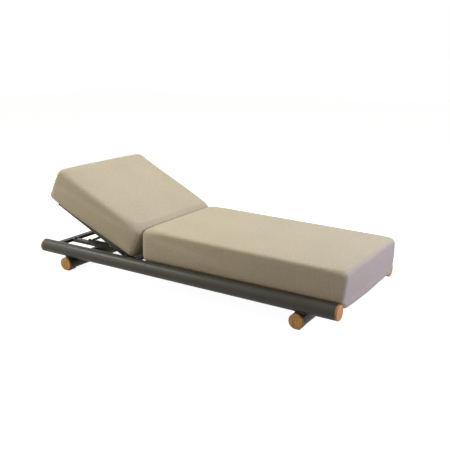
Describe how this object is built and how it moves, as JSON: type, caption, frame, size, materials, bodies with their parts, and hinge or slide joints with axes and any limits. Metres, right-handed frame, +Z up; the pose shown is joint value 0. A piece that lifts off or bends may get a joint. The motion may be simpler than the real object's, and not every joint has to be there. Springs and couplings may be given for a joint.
{
  "type": "relaxation lounger",
  "caption": "Low daybed lounger: two round side rails on round leg tubes, wooden end discs, thick seat cushion and a back cushion on a tilting backrest.",
  "frame": {"origin": "middle of the lounger's footprint, on the floor", "axes": "+X to the foot end, +Y across to the far side as the picture sees it, +Z up; the head end and the backrest are at -X"},
  "size_m": [2.022, 0.8, 0.6244],
  "materials": {
    "frame": "fine-textured dark bronze powder coat",
    "wood": "oiled teak end grain",
    "fabric": "plain-woven outdoor fabric over foam",
    "plastic": "black moulded nylon",
    "rubber": "black rubber",
    "steel": "stainless steel"
  },
  "bodies": {
    "base": {"near_side_rail": "frame", "far_side_rail": "frame", "near_rail_head_disc": "wood", "near_rail_foot_disc": "wood", "far_rail_head_disc": "wood", "far_rail_foot_disc": "wood", "head_leg_tube": "frame", "foot_leg_tube": "frame", "near_head_leg_disc": "wood", "near_foot_leg_disc": "wood", "far_head_leg_disc": "wood", "far_foot_leg_disc": "wood", "floor_glides": "plastic", "rail_saddles": "plastic", "rail_bolts": "steel", "rail_nuts": "steel", "head_crossbar": "frame", "hinge_crossbar": "frame", "mid_crossbar": "frame", "foot_crossbar": "frame", "near_long_bar": "frame", "far_long_bar": "frame", "seat_slats": "frame", "near_rack": "frame", "far_rack": "frame", "near_hinge_bracket": "frame", "far_hinge_bracket": "frame", "hinge_pins": "steel", "hinge_nuts": "steel", "hinge_spacers": "plastic", "stop_bumpers": "rubber", "seat_cushion": "fabric"},
    "backrest": {"near_back_bar": "frame", "far_back_bar": "frame", "back_head_bar": "frame", "back_foot_bar": "frame", "back_slats": "frame", "back_bar_plugs": "plastic", "hinge_bushes": "plastic", "prop_shaft": "frame", "shaft_collars": "steel"},
    "prop": {"near_prop_leg": "frame", "far_prop_leg": "frame", "prop_rod": "frame"},
    "back_pad": {"back_cushion": "fabric"}
  },
  "joints": [
    {"name": "backrest_tilt", "type": "hinge", "parent": "base", "child": "backrest", "pos_m": [-0.361, 0, 0.148], "axis": [0, 1, 0], "range_deg": [-25, 20]},
    {"name": "prop_fold", "type": "hinge", "parent": "backrest", "child": "prop", "pos_m": [-0.55858, 0, 0.24013], "axis": [0, 1, 0], "range_deg": [-40.01, 50.01]},
    {"name": "back_pad_slide", "type": "slide", "parent": "backrest", "child": "back_pad", "axis": [-0.9063, 0, 0.4226], "range_m": [-0.0842, 0.0674]}
  ],
  "couplings": [
    {"joint": "prop_fold", "follows": "backrest_tilt", "ratio": -2},
    {"joint": "back_pad_slide", "follows": "backrest_tilt", "m_per_rad": 0.1925}
  ]
}
